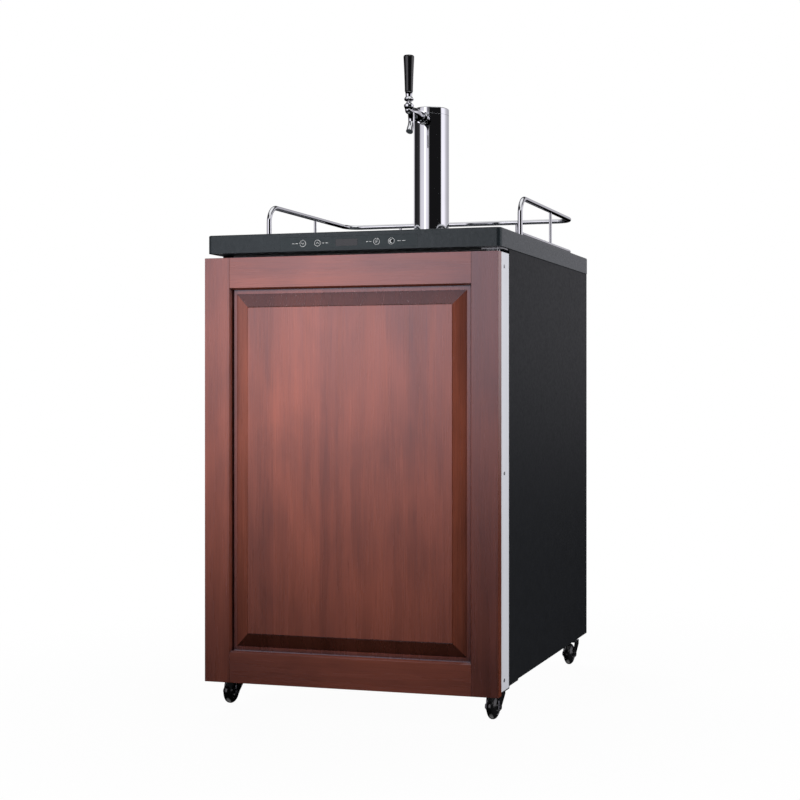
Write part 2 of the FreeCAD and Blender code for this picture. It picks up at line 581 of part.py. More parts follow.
# ---------------------------------------------------------------- door
def wood_door():
    half, low, high = "door_width/2", "door_base", "door_top"
    face, back = "front", "front+wood_thick"
    side, base, top = f"{half}-stile_width", f"{low}+rail_width", f"{high}-rail_width"
    in_side, in_base, in_top = (f"({edge}sticking)" for edge in (f"{side}-", f"{base}+", f"{top}-"))

    def frame():
        body = block((f"-({half})", half), (face, back), (low, high))
        slope = frustum(rectangle(side, base, top), rectangle(in_side, in_base, in_top),
                        (face, f"{face}+sticking_depth"))
        window = block((f"-({in_side})", in_side), (f"{face}+sticking_depth-0.01", back + "+1"),
                       (in_base, in_top))
        seat = block((f"-({in_side}+rabbet)", f"{in_side}+rabbet"),
                     (f"{face}+groove_depth-0.1", back + "+1"),
                     (f"{in_base}-rabbet", f"{in_top}+rabbet"))
        return less(body, slope, window, seat)

    def piece(name, outline):
        cutter = padded(outline, "XZ_Plane", "60", ("0", "front", "0"), midplane=True)
        node(name, common(frame(), cutter))

    for name, sign in (("door_stile_left", "-"), ("door_stile_right", "")):
        piece(name, [(f"{sign}({half})", low), (f"{sign}({side})", low), (f"{sign}({side})", base),
                     (f"{sign}({in_side})", in_base), (f"{sign}({in_side})", in_top),
                     (f"{sign}({side})", top), (f"{sign}({side})", high), (f"{sign}({half})", high)])
    for name, edge, inner, outer in (("door_rail_top", top, in_top, high),
                                     ("door_rail_bottom", base, in_base, low)):
        piece(name, [(f"-({side})", outer), (f"-({side})", edge), (f"-({in_side})", inner), (in_side, inner),
                     (side, edge), (side, outer)])
    floor = "front+groove_depth"
    edge_side = f"({in_side}+rabbet-panel_play)"
    tongue = block((f"-({edge_side})", edge_side), (floor, f"{floor}+panel_edge"),
                   (f"{in_base}-rabbet+panel_play", f"{in_top}+rabbet-panel_play"))

    def inside(inset):
        return rectangle(f"{side}-groove-({inset})", f"{base}+groove+({inset})",
                         f"{top}-groove-({inset})")

    step_foot = "front+panel_inset+panel_step"
    bevel = frustum(inside("panel_bevel-panel_step"), inside("0"), (step_foot, f"{floor}+0.01"))
    step = frustum(inside("panel_bevel"), inside("panel_bevel-panel_step"),
                   ("front+panel_inset", step_foot))
    node("door_raised_panel", joined(tongue, bevel, step))


def door_shell():
    half, low, high = "door_width/2", "trim_base", "door_top"
    face, back = "front+wood_thick", "door_rear"
    wall = "trim_wall"

    def ring(shrink, y0, y1):
        return block((f"-({half}-{shrink})", f"{half}-{shrink}"), (y0, y1),
                     (f"{low}+{shrink}", f"{high}-{shrink}"))

    screw_y = f"{face}+16"
    right = (f"{half}-0.4", f"{half}-12.2", f"{half}-0.4", f"{half}-13")
    left = (f"-({half}+1)", f"-({half}-0.2)", f"-({half}+3.6)", f"-({half}+1)")
    screws, holes = [], []
    for head_x, shank_x, sink_x, hole_x in (left, right):
        for z in ("door_base+26", "(door_base+door_top)/2", "door_top-26"):
            screws.append(joined(rod("3.4", "1.4", (head_x, screw_y, z), "x"),
                                 rod("1.7", "12", (shank_x, screw_y, z), "x")))
            holes += [rod("3.5", "4", (sink_x, screw_y, z), "x"),
                      rod("1.8", "14", (hole_x, screw_y, z), "x")]
    node("door_trim_screws", grouped(*screws))
    trim_bores = [rod("hinge_pin+3", "40", ("hinge_x", "hinge_y", z)) for z in (f"{low}-20", f"{high}-20")]
    node("door_trim_frame", less(ring("0", face, back), ring("trim_lip", f"{face}-1", f"{back}+1"),
                                 ring(wall, f"{face}+{wall}", f"{back}-{wall}"), *holes, *trim_bores))
    core = joined(ring(wall, f"{face}+{wall}", f"{back}-{wall}-liner_gauge"),
                  ring("trim_lip", face, f"{back}-{wall}"))
    sockets = [rod("hinge_pin+3", "18", ("hinge_x", "hinge_y", f"{low}+{wall}-2")),
               rod("hinge_pin+3", "18", ("hinge_x", "hinge_y", f"{high}-{wall}-16"))]
    dish = block(("-door_dish_side-0.1", "door_dish_side+0.1"),
                 (f"{back}-door_dish_depth-liner_gauge", f"{back}+9"), (f"{low}+62", f"{high}-62"))
    behind = ring("trim_lip", f"{back}-liner_gauge", f"{back}+2")
    node("door_core", less(core, dish, behind, *holes, *sockets))
    tub = joined(ring("trim_lip", f"{back}-liner_gauge", back),
                 block(("-door_dish_side", "door_dish_side"),
                       (f"{back}-door_dish_depth-liner_gauge", back), (f"{low}+62.1", f"{high}-62.1")))
    hollow = block(("-door_dish_side+liner_gauge", "door_dish_side-liner_gauge"),
                   (f"{back}-door_dish_depth", f"{back}+5"), (f"{low}+64", f"{high}-64"))
    node("door_liner", less(tub, hollow))
    seal = less(ring(f"({half}-gasket_side)", back, "cabinet_front-gasket_play"),
                ring(f"({half}-gasket_side+gasket_width)", f"{back}-1", "cabinet_front+1"))
    node("door_gasket", seal)
    node("hinge_bushes", grouped(*[
        less(rod("hinge_pin+3", "14", ("hinge_x", "hinge_y", z)),
             rod("hinge_pin+bush_play", "16", ("hinge_x", "hinge_y", f"{z}-1")))
        for z in (f"{low}+0.2", f"{high}-14.2")]))


def hinges():
    """Steel brackets on the hinge side, under the base pan and under the worktop, with their pins."""
    low_top, step = "cabinet_base", "4.4"
    gauge = "bracket_gauge"
    reach = "cabinet_front+60"
    low = joined(
        block(("hinge_x+0.8", "cabinet_width/2-0.4"), ("cabinet_front+1", reach),
              (f"{low_top}-{gauge}", low_top)),
        block(("hinge_x+0.8", "cabinet_width/2-0.4"), ("cabinet_front-2", "cabinet_front+2"),
              (f"{low_top}-{gauge}-{step}", low_top)),
        block(("hinge_x-9", "cabinet_width/2-0.4"), ("hinge_y-9", "cabinet_front-1"),
              (f"{low_top}-{gauge}-{step}", f"{low_top}-{step}")))
    node("bottom_hinge_bracket", less(low, rod("hinge_pin", "20", ("hinge_x", "hinge_y", f"{low_top}-15"))))
    ceiling = "worktop_top-worktop_thick"
    high = joined(
        block(("hinge_x-30", "cabinet_width/2-1.4"), ("hinge_y-9", "cabinet_front"),
              (f"{ceiling}-{gauge}", ceiling)),
        block(("hinge_x-30", "cabinet_width/2-return_width-0.4"),
              (f"cabinet_front-{gauge}", "cabinet_front"), (f"{ceiling}-8", ceiling)))
    node("top_hinge_bracket", less(high, rod("hinge_pin", "30", ("hinge_x", "hinge_y", f"{ceiling}-15"))))
    pins = [rod("hinge_pin", "17", ("hinge_x", "hinge_y", f"{low_top}-{gauge}-{step}")),
            rod("hinge_pin", "22", ("hinge_x", "hinge_y", f"{ceiling}-22"))]
    node("hinge_pins", grouped(*pins))


# ---------------------------------------------------------------- casters
def casters():
    base = "cabinet_base"
    plates = []
    for name, (x, y) in CASTERS.items():
        half = "caster_plate/2"
        plate = block((f"{x}-{half}", f"{x}+{half}"), (f"{y}-{half}", f"{y}+{half}"), (f"{base}-2.5", base))
        race = turned([("0", "fork_top+0.4"), ("10", "fork_top+0.4"), ("11.5", "fork_top+2"),
                       ("11.5", f"{base}-4"), ("10", f"{base}-2"), ("0", f"{base}-2")], (x, y, "0"))
        pin = joined(rod("king_pin", "6", (x, y, "fork_top-4")), rod("6.2", "1.4", (x, y, "fork_top-4.2")))
        plates.append(joined(plate, race, pin))
        fork_and_wheel(name, x, y)
    node("caster_plates", grouped(*plates))


def fork_and_wheel(name, x, y):
    """The fork trails forward of its king pin, so the wheel stands under the door's edge."""
    axle_y = f"{y}-caster_trail"
    inner = "wheel_width/2+1"
    crown = rounded(block((f"{x}-({inner}+fork_gauge)", f"{x}+{inner}+fork_gauge"),
                          (f"{axle_y}+2", f"{y}+11.5"), ("fork_top-2.5", "fork_top")), "5", upright)
    cheeks = []
    for low in (f"{x}-({inner}+fork_gauge)", f"{x}+{inner}"):
        cheeks.append(padded([
            (f"{axle_y}-7", "wheel_radius-3"), (f"{axle_y}-4", "wheel_radius-7"),
            (f"{axle_y}+4", "wheel_radius-7"), (f"{axle_y}+8", "wheel_radius-3"), (f"{y}+6", "fork_top-9"),
            (f"{y}+6", "fork_top-1"), (f"{axle_y}+3", "fork_top-1"), (f"{axle_y}-4", "wheel_radius+12")],
            "YZ_Plane", "fork_gauge", (low, "0", "0")))
    axle = rod("3", f"2*({inner}+fork_gauge)+5",
               (f"{x}-({inner}+fork_gauge)-2.5", axle_y, "wheel_radius"), "x")
    heads = [rod("5", "2.2", (low, axle_y, "wheel_radius"), "x")
             for low in (f"{x}-({inner}+fork_gauge)-2.2", f"{x}+{inner}+fork_gauge")]
    body = less(joined(crown, *cheeks), rod("king_pin+0.06", "20", (x, y, "fork_top-12")))
    node(f"caster_fork_{name}", joined(body, axle, *heads))
    tread = "wheel_width/2"
    node(f"caster_wheel_{name}", turned([
        ("3.06", f"-({tread})"), ("8", f"-({tread})"), ("8.6", f"-({tread}-1.6)"), ("14", f"-({tread}-1.8)"),
        ("17.5", f"-({tread}-0.6)"), ("20.6", f"-({tread}-2.4)"), ("22.4", f"-({tread}-5.4)"),
        ("wheel_radius", "-2"), ("wheel_radius", "2"), ("22.4", f"{tread}-5.4"), ("20.6", f"{tread}-2.4"),
        ("17.5", f"{tread}-0.6"), ("14", f"{tread}-1.8"), ("8.6", f"{tread}-1.6"), ("8", tread),
        ("3.06", tread)], (x, axle_y, "wheel_radius"), "x"))


# ---------------------------------------------------------------- check and write
def write_parts():
    document.recompute()
    for thing in document.Objects:
        if {"Invalid", "Error"} & set(thing.State):
            raise RuntimeError(f"{thing.Name} ({thing.Label}) failed: {thing.State}")
    os.makedirs("parts", exist_ok=True)
    for thing in nodes:
        if thing.Shape.isNull() or not thing.Shape.isValid() or not thing.Shape.Solids:
            raise RuntimeError(f"{thing.Label} is not a valid solid")
        thing.Shape.exportStep(f"parts/{thing.Label}.step")
        print(f"{thing.Label}: {len(thing.Shape.Solids)} solids, {thing.Shape.Volume / 1000:.1f} cm3")
    print(len(nodes), "sub-parts")


cabinet()
keg_space()
machine_space()
worktop()
controls()
drip_tray()
guard_rail()
tower()
tap()
lever()
beer_line()
wood_door()
door_shell()
hinges()
casters()
write_parts()
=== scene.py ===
"""Kegerator, the visual model: stained wood door, matt black cabinet, chrome tower, tap and guard rail.

Metres, in the CAD frame: +Z up, the door faces -Y, the hinge side is +X.
"""
import json
import math

import bmesh
import bpy
from mathutils import Matrix, Vector


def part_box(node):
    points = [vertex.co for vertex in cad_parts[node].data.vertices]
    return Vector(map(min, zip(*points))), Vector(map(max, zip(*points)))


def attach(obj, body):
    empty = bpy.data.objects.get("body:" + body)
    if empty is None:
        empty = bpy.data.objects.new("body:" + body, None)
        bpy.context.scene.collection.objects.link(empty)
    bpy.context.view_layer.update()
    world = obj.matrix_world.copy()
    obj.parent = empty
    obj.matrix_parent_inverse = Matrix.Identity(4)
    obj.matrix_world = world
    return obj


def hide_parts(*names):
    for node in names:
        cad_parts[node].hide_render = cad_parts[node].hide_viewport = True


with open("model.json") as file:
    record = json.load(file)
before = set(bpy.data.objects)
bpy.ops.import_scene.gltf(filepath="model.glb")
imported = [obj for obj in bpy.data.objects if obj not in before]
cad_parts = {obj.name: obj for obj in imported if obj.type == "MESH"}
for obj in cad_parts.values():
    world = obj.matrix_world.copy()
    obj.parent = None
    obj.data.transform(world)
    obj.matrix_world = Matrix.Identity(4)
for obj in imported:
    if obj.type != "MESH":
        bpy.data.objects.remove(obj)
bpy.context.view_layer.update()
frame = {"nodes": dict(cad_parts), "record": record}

NODES = frame["nodes"]
MM = 0.001
TINY = 1e-7
scene = bpy.context.scene
collection = scene.collection


# ---------------------------------------------------------------- node materials
class Shader:
    """A node material with a few helpers for chaining nodes."""

    def __init__(self, name, world=False):
        self.data = (bpy.data.worlds if world else bpy.data.materials).new(name)
        self.data.use_nodes = True
        self.tree = self.data.node_tree
        self.tree.nodes.clear()

    def add(self, kind, inputs=None, **settings):
        node = self.tree.nodes.new(kind)
        for key, value in settings.items():
            setattr(node, key, value)
        for key, value in (inputs or {}).items():
            if isinstance(value, bpy.types.NodeSocket):
                self.tree.links.new(value, node.inputs[key])
            else:
                node.inputs[key].default_value = value
        return node

    def coordinates(self, scale=(1, 1, 1)):
        source = self.add("ShaderNodeTexCoord")
        return self.add("ShaderNodeMapping", {"Vector": source.outputs["Object"], "Scale": scale}).outputs[0]

    def noise(self, vector, scale, detail, rough=0.5, distortion=0.0):
        return self.add("ShaderNodeTexNoise", {"Vector": vector, "Scale": scale, "Detail": detail,
                                               "Roughness": rough, "Distortion": distortion}).outputs[0]

    def math(self, operation, a, b=0.0, c=0.0):
        return self.add("ShaderNodeMath", {0: a, 1: b, 2: c}, operation=operation).outputs[0]

    def spread(self, value, low, high, to_low, to_high):
        return self.add("ShaderNodeMapRange", {"Value": value, "From Min": low, "From Max": high,
                                               "To Min": to_low, "To Max": to_high}).outputs[0]

    def ramp(self, value, stops):
        node = self.add("ShaderNodeValToRGB", {"Fac": value})
        elements = node.color_ramp.elements
        while len(elements) < len(stops):
            elements.new(0.5)
        for element, (place, colour) in zip(elements, stops):
            element.position = place
            element.color = (*colour, 1)
        return node.outputs[0]

    def blend(self, factor, a, b, mode="MIX"):
        node = self.add("ShaderNodeMix", {"Factor": factor}, data_type="RGBA", blend_type=mode)
        for index, value in ((6, a), (7, b)):
            if isinstance(value, bpy.types.NodeSocket):
                self.tree.links.new(value, node.inputs[index])
            else:
                node.inputs[index].default_value = (*value, 1)
        return node.outputs[2]

    def bump(self, height, strength, distance):
        return self.add("ShaderNodeBump", {"Height": height, "Strength": strength,
                                           "Distance": distance}).outputs[0]

    def surface(self, **inputs):
        inputs = {key.replace("_", " "): value for key, value in inputs.items()}
        self.show(self.add("ShaderNodeBsdfPrincipled", inputs), "ShaderNodeOutputMaterial")
        return self.data

    def show(self, shader, output):
        self.tree.links.new(shader.outputs[0], self.add(output).inputs[0])


# the range that a noise mostly fills
NOISE_LOW, NOISE_HIGH = 0.3, 0.7
# how far the roughness drifts, and how much finer than the colour
GLOSS_SPREAD, GLOSS_FINER = 0.15, 2.7
PIT_STRENGTH = 0.6
# STAIN is the wood's own colour; the second colour is painted shade, laid into the recesses of the door's
# mouldings
STAIN, RECESS_SHADE = (0.262, 0.070, 0.037), (0.030, 0.007, 0.007)
COOL = (0.90, 0.99, 1.0, 1)
# the share of each layer in the wood's tone
STREAKS, MOTTLE, WARP, FIBRES, BOARDS = 0.20, 0.38, 0.04, 0.30, 0.08
BOARDS_PER_METRE, FIRST_BOARD = 10.5, 20.6
PORE_LEVEL, PORE_STRENGTH = 0.66, 0.18
RECESS_REACH = 14 * MM


def scaled(colour, factor):
    return tuple(min(1.0, channel * factor) for channel in colour)


def finish(name, colour, roughness, metallic=0.0, variation=0.08, grain=60.0, pits=900.0, depth=0.00004,
           stretch=(1, 1, 1), **extra):
    """A moulded, painted or metal surface: slow colour drift, uneven gloss and a fine bump."""
    shader = Shader(name)
    place = shader.coordinates(stretch)
    drift = shader.noise(place, grain, 3.0)
    base = shader.ramp(drift, [(NOISE_LOW, scaled(colour, 1 - variation)),
                               (NOISE_HIGH, scaled(colour, 1 + variation))])
    gloss = shader.spread(shader.noise(place, grain * GLOSS_FINER, 5.0), NOISE_LOW, NOISE_HIGH,
                          roughness * (1 - GLOSS_SPREAD), roughness * (1 + GLOSS_SPREAD))
    fine = shader.noise(place, pits, 2.0)
    return shader.surface(Base_Color=base, Roughness=gloss, Metallic=metallic,
                          Normal=shader.bump(fine, PIT_STRENGTH, depth), **extra)


def wood(name, upright, shade=1.0):
    """Stained wood under satin lacquer: grain along Z or X, faces across the grain darkened (real end grain,
    and painted shade on the raised panel's top and bottom bevels), and painted shade in the recesses of the
    mouldings.
    """
    shader = Shader(name)
    along, across = (2, 0) if upright else (0, 2)

    def drawn_out(ratio):
        return shader.coordinates((1, 1, ratio) if upright else (ratio, 1, 1))

    streaks = shader.noise(drawn_out(0.05), 60.0, detail=5.0, rough=0.6, distortion=0.25)
    fibres = shader.noise(drawn_out(0.02), 600.0, detail=3.0, rough=0.6)
    mottle = shader.noise(drawn_out(0.45), 11.0, detail=3.0, distortion=0.6)
    warp = shader.add("ShaderNodeTexWave", {
        "Vector": drawn_out(0.10), "Scale": 7.0, "Distortion": 7.5, "Detail": 3.0, "Detail Scale": 1.4,
        "Detail Roughness": 0.55}, wave_type="BANDS", bands_direction="X" if upright else "Z").outputs[1]
    place = shader.add("ShaderNodeSeparateXYZ", {0: shader.coordinates()}).outputs[across]
    boards = shader.add("ShaderNodeTexWhiteNoise", {
        "W": shader.math("FLOOR", shader.math("MULTIPLY_ADD", place, BOARDS_PER_METRE, FIRST_BOARD))},
        noise_dimensions="1D").outputs[0]
    tone = shader.math("MULTIPLY", streaks, STREAKS)
    for layer, share in ((mottle, MOTTLE), (warp, WARP), (fibres, FIBRES), (boards, BOARDS)):
        tone = shader.math("MULTIPLY_ADD", layer, share, tone)
    stain = scaled(STAIN, shade)
    colour = shader.ramp(tone, [(0.34, scaled(stain, 0.58)), (0.50, stain), (0.66, scaled(stain, 1.42))])
    pores = shader.math("MULTIPLY", shader.math("GREATER_THAN", fibres, PORE_LEVEL), PORE_STRENGTH)
    colour = shader.blend(pores, colour, scaled(stain, 0.4))
    normal = shader.add("ShaderNodeSeparateXYZ", {0: shader.add("ShaderNodeTexCoord").outputs["Normal"]})
    # Faces across the grain go dark: real end grain on the ends of stiles and rails, and painted shade on the
    # raised panel's top and bottom bevels
    end_grain_and_shade = shader.spread(shader.math("ABSOLUTE", normal.outputs[along]), 0.06, 0.26, 0.0, 0.72)
    colour = shader.blend(end_grain_and_shade, colour, scaled(stain, 0.05))
    # Painted shade: the colour goes dark where ambient occlusion finds a recess, in the grooves of the
    # mouldings
    recess_shade_mask = shader.add("ShaderNodeAmbientOcclusion", {"Distance": RECESS_REACH}, samples=6).outputs["AO"]
    colour = shader.blend(shader.spread(recess_shade_mask, 0.62, 0.95, 0.92, 0.0), colour, RECESS_SHADE)
    gloss = shader.spread(streaks, NOISE_LOW, NOISE_HIGH, 0.24, 0.30)
    grain = shader.math("ADD", fibres, shader.math("MULTIPLY", streaks, 0.8))
    return shader.surface(Base_Color=colour, Roughness=gloss,
                          Normal=shader.bump(grain, strength=0.15, distance=0.2 * MM),
                          Specular_IOR_Level=0.8, Specular_Tint=(1.0, 0.74, 1.0, 1), Coat_Weight=1.0,
                          Coat_IOR=1.7, Coat_Tint=(1.0, 0.97, 1.0, 1), Coat_Roughness=0.22)


MATERIALS = {
    "cabinet_black": finish("cabinet_black", (0.014, 0.015, 0.017), 0.34, pits=1400, depth=0.00003,
                            Specular_IOR_Level=0.03),
    "galvanised_steel": finish("galvanised_steel", (0.50, 0.51, 0.52), 0.30, metallic=1.0, variation=0.12,
                               grain=90),
    "foam": finish("foam", (0.78, 0.70, 0.48), 0.85, pits=500, depth=0.0005),
    "white_plastic": finish("white_plastic", (0.78, 0.79, 0.80), 0.42, variation=0.02, grain=3, pits=300,
                            depth=0.00002, Specular_IOR_Level=0.30),
    "black_rubber": finish("black_rubber", (0.022, 0.022, 0.023), 0.62),
    "evaporator_aluminium": finish("evaporator_aluminium", (0.70, 0.71, 0.73), 0.35, metallic=1.0),
    "compressor_black": finish("compressor_black", (0.012, 0.012, 0.013), 0.25),
    "condenser_black": finish("condenser_black", (0.018, 0.018, 0.019), 0.4),
    "worktop_black": finish("worktop_black", (0.017, 0.022, 0.026), 0.30, pits=1500, depth=0.00004,
                            Specular_IOR_Level=0.57, Specular_Tint=COOL),
    "fascia_black": finish("fascia_black", (0.026, 0.034, 0.038), 0.30, pits=1500, depth=0.00006,
                           Specular_IOR_Level=0.46, Specular_Tint=COOL),
    "display_dark": finish("display_dark", (0.010, 0.011, 0.014), 0.08, Specular_IOR_Level=0.40),
    "board_green": finish("board_green", (0.03, 0.16, 0.07), 0.4),
    "chrome": finish("chrome", (0.82, 0.83, 0.86), 0.045, metallic=1.0, variation=0.02, grain=20, pits=160,
                     depth=0.000004),
    "stainless": finish("stainless", (0.60, 0.60, 0.61), 0.26, metallic=1.0, variation=0.06, grain=40,
                        pits=700, depth=0.00002, stretch=(1, 0.05, 1)),
    "tray_black": finish("tray_black", (0.020, 0.020, 0.021), 0.45),
    "handle_black": finish("handle_black", (0.008, 0.008, 0.009), 0.12, Coat_Weight=0.6, Coat_Roughness=0.05),
    "door_wood": wood("door_wood", upright=True),
    "trim_aluminium": finish("trim_aluminium", (0.80, 0.81, 0.87), 0.40, metallic=0.10, variation=0.03,
                             grain=30, pits=800, depth=0.00002, stretch=(1, 1, 0.03)),
    "wheel_black": finish("wheel_black", (0.010, 0.010, 0.011), 0.16, Coat_Weight=0.5, Coat_Roughness=0.08),
}
WOOD_ACROSS = wood("door_wood_across", upright=False)
WOOD_DARKER = wood("door_wood_darker", upright=True, shade=0.66)
PRINT_WHITE = finish("print_white", (0.80, 0.81, 0.82), 0.5, pits=600)
FORK_BLACK = finish("fork_black", (0.10, 0.10, 0.11), 0.14, metallic=0.9)

record = frame["record"]
SLOTS = {entry["node"]: entry["material_slot"] for entry in record["subparts"]}
for node_name, thing in NODES.items():
    thing.data.materials.clear()
    thing.data.materials.append(MATERIALS[SLOTS[node_name]])
BODIES = {node: body for body, members in record["behaviour"]["bodies"].items() for node in members}


# ---------------------------------------------------------------- mesh helpers
SHARP, SHARP_ON_ROUNDS, SHARP_ON_GRIP = math.radians(35), math.radians(40), math.radians(60)
WELD, COPLANAR, EASED_ABOVE, EASE_STEPS = 1e-6, math.radians(0.5), math.radians(30), 2


def piece(name, mesh, nodes, material=None, slot=None, body=None):
    """A mesh becomes a piece that stands for CAD nodes, or is new on a body."""
    thing = bpy.data.objects.new(name, mesh)
    collection.objects.link(thing)
    names = [nodes] if isinstance(nodes, str) else list(nodes)
    slot = slot or SLOTS[names[0]]
    mesh.materials.append(material or MATERIALS[slot])
    if names:
        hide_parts(*names)
    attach(thing, body or BODIES[names[0]])


def to_mesh(name, model, sharp=SHARP, flat=()):
    """Smooth shading apart from sharp edges and the faces named as flat."""
    bmesh.ops.recalc_face_normals(model, faces=model.faces)
    for face in model.faces:
        face.smooth = True
    for face in flat:
        face.smooth = False
    for edge in model.edges:
        edge.smooth = len(edge.link_faces) == 2 and edge.calc_face_angle(0.0) < sharp
    return stored(name, model)


def stored(name, model):
    mesh = bpy.data.meshes.new(name)
    model.to_mesh(mesh)
    model.free()
    return mesh


def mm(pairs):
    return [(first * MM, second * MM) for first, second in pairs]


def circle(segments):
    return (2 * math.pi * i / segments for i in range(segments))


def lathe(profile, centre, axis="Z", segments=96, model=None):
    """Turns (radius, height) pairs round an axis."""
    model = model or bmesh.new()
    turn = {"Z": Matrix.Identity(3), "Y": Matrix.Rotation(-math.pi / 2, 3, "X"),
            "X": Matrix.Rotation(math.pi / 2, 3, "Y")}[axis]
    rings = []
    for radius, height in profile:
        if radius < TINY:
            ring = [Vector((0, 0, height))]
        else:
            ring = [Vector((radius * math.cos(a), radius * math.sin(a), height)) for a in circle(segments)]
        rings.append([model.verts.new(Vector(centre) + turn @ point) for point in ring])
    pairs = list(zip(rings, rings[1:]))
    if len(rings[0]) > 1 and len(rings[-1]) > 1:
        pairs.append((rings[-1], rings[0]))
    for first, second in pairs:
        for i in range(segments):
            j = (i + 1) % segments
            if len(first) == 1:
                corners = (first[0], second[j], second[i])
            elif len(second) == 1:
                corners = (first[i], first[j], second[0])
            else:
                corners = (first[i], first[j], second[j], second[i])
            model.faces.new(corners)
    return model


def arc(centre, radius, start, end, steps):
    """Points of an arc in a plane, as (first, second) pairs."""
    return [(centre[0] + radius * math.cos(start + (end - start) * i / steps),
             centre[1] + radius * math.sin(start + (end - start) * i / steps)) for i in range(steps + 1)]


def sweep(points, radius, segments, model=None):
    """A round tube along points, closed at both ends; radius is a number or one value per point."""
    model = model or bmesh.new()
    points = [Vector(p) for p in points]
    radii = radius if hasattr(radius, "__len__") else [radius] * len(points)
    last = len(points) - 1
    tangents = [(points[min(i + 1, last)] - points[max(i - 1, 0)]).normalized() for i in range(len(points))]
    side = tangents[0].orthogonal().normalized()
    rings = []
    for i, (point, tangent) in enumerate(zip(points, tangents)):
        if i:
            side = (tangents[i - 1].rotation_difference(tangent) @ side).normalized()
        up = tangent.cross(side)
        rings.append([model.verts.new(point + radii[i] * (math.cos(a) * side + math.sin(a) * up))
                      for a in circle(segments)])
    for first, second in zip(rings, rings[1:]):
        for k in range(segments):
            j = (k + 1) % segments
            model.faces.new((first[k], first[j], second[j], second[k]))
    model.faces.new(rings[0][::-1])
    model.faces.new(rings[-1])
    return model


def polished(name, node, width, material=None):
    """A copy of a node's solid with its sharp edges eased by a small round."""
    model = bmesh.new()
    model.from_mesh(NODES[node].data)
    bmesh.ops.remove_doubles(model, verts=model.verts, dist=WELD)
    bmesh.ops.dissolve_limit(model, angle_limit=COPLANAR, verts=model.verts, edges=model.edges)
    edges = [edge for edge in model.edges
             if len(edge.link_faces) == 2 and edge.calc_face_angle(0.0) > EASED_ABOVE]
    rounds = bmesh.ops.bevel(model, geom=edges, offset=width, segments=EASE_STEPS, profile=0.5,
                             affect="EDGES", clamp_overlap=True)["faces"]
    flat = set(model.faces) - set(rounds)
    piece(name, to_mesh(name, model, SHARP_ON_ROUNDS, flat), node, material)


# ---------------------------------------------------------------- door
WOOD_EASE, TRIM_EASE = 0.3 * MM, 0.5 * MM

for node_name, timber in (("door_stile_left", None), ("door_stile_right", WOOD_DARKER),
                          ("door_rail_top", WOOD_ACROSS), ("door_rail_bottom", WOOD_ACROSS),
                          ("door_raised_panel", None)):
    polished(node_name.replace("door_", "wood_"), node_name, WOOD_EASE, timber)
polished("trim_frame", "door_trim_frame", TRIM_EASE)


# ---------------------------------------------------------------- tower
TOWER_WALL, CAP_ROUND, CAP_CHAMFER = 1.5 * MM, 2 * MM, 0.6 * MM
TOWER_SEGMENTS = 256


def tower():
    low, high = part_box("tower_column")
    centre = ((low.x + high.x) / 2, (low.y + high.y) / 2, 0)
    radius = (high.x - low.x) / 2
    bore = radius - TOWER_WALL
    tube = lathe([(radius, low.z), (radius, high.z), (bore, high.z), (bore, low.z)], centre,
                 segments=TOWER_SEGMENTS)
    piece("tower_tube", to_mesh("tower_tube", tube), "tower_column")
    low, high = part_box("tower_cap")
    edge = arc((radius - CAP_ROUND, high.z - CAP_ROUND), CAP_ROUND, 0, math.pi / 2, 6)
    cap = lathe([(radius - CAP_CHAMFER, low.z), (radius, low.z + CAP_CHAMFER), *edge,
                 (radius * 0.5, high.z), (0, high.z)], centre, segments=TOWER_SEGMENTS)
    base = [v for v in cap.verts if abs(v.co.z - low.z) < TINY]
    cap.faces.new(sorted(base, key=lambda v: -math.atan2(v.co.y - centre[1], v.co.x - centre[0])))
    piece("tower_lid", to_mesh("tower_lid", cap), "tower_cap")


tower()


# ---------------------------------------------------------------- guard rail
RAIL_TUBE, RAIL_FOOT, RAIL_BEND, BEND_STEPS = 5 * MM, 10 * MM, 34 * MM, 14
LOW_TUBE, LOW_RAIL_HEIGHT, UPRIGHT = 4 * MM, 10.5 * MM, 3 * MM
SIDE_UPRIGHT_Y, BACK_UPRIGHT_X = 113 * MM, 140 * MM


def rail_path(side, front, back, level, foot=None):
    """Up the left side, round the back and down the right side, with front bends where there is a foot."""
    quarter = (math.pi, math.pi / 2, BEND_STEPS)
    if foot is None:
        points = [(-side, front, level)]
    else:
        points = [(-side, front, foot)]
        points += [(-side, y, z) for y, z in arc((front + RAIL_BEND, level - RAIL_BEND), RAIL_BEND, *quarter)]
    points += [(x, y, level) for x, y in arc((-side + RAIL_BEND, back - RAIL_BEND), RAIL_BEND, *quarter)]
    return points + [(-x, y, z) for x, y, z in reversed(points)]


def guard_rail():
    low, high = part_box("guard_rail_upper")
    side = (high.x - low.x) / 2 - RAIL_FOOT
    front, back = low.y + RAIL_FOOT, high.y - RAIL_TUBE
    level, top = high.z - RAIL_TUBE, low.z
    upper = sweep(rail_path(side, front, back, level, top), RAIL_TUBE, 40)
    for x in (-side, side):
        lathe(mm([(0, 0), (10, 0), (10, 1.6), (8.6, 3), (0, 3)]), (x, front, top), segments=48, model=upper)
    piece("rail_upper", to_mesh("rail_upper", upper), "guard_rail_upper")
    lower = sweep(rail_path(side, front + RAIL_TUBE, back, top + LOW_RAIL_HEIGHT), LOW_TUBE, 32)
    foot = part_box("guard_rail_lower")[0].z
    for x, y in ((-side, SIDE_UPRIGHT_Y), (side, SIDE_UPRIGHT_Y),
                 (-BACK_UPRIGHT_X, back), (BACK_UPRIGHT_X, back)):
        sweep([(x, y, foot), (x, y, level - RAIL_TUBE)], UPRIGHT, 24, lower)
    piece("rail_lower", to_mesh("rail_lower", lower), "guard_rail_lower")


guard_rail()


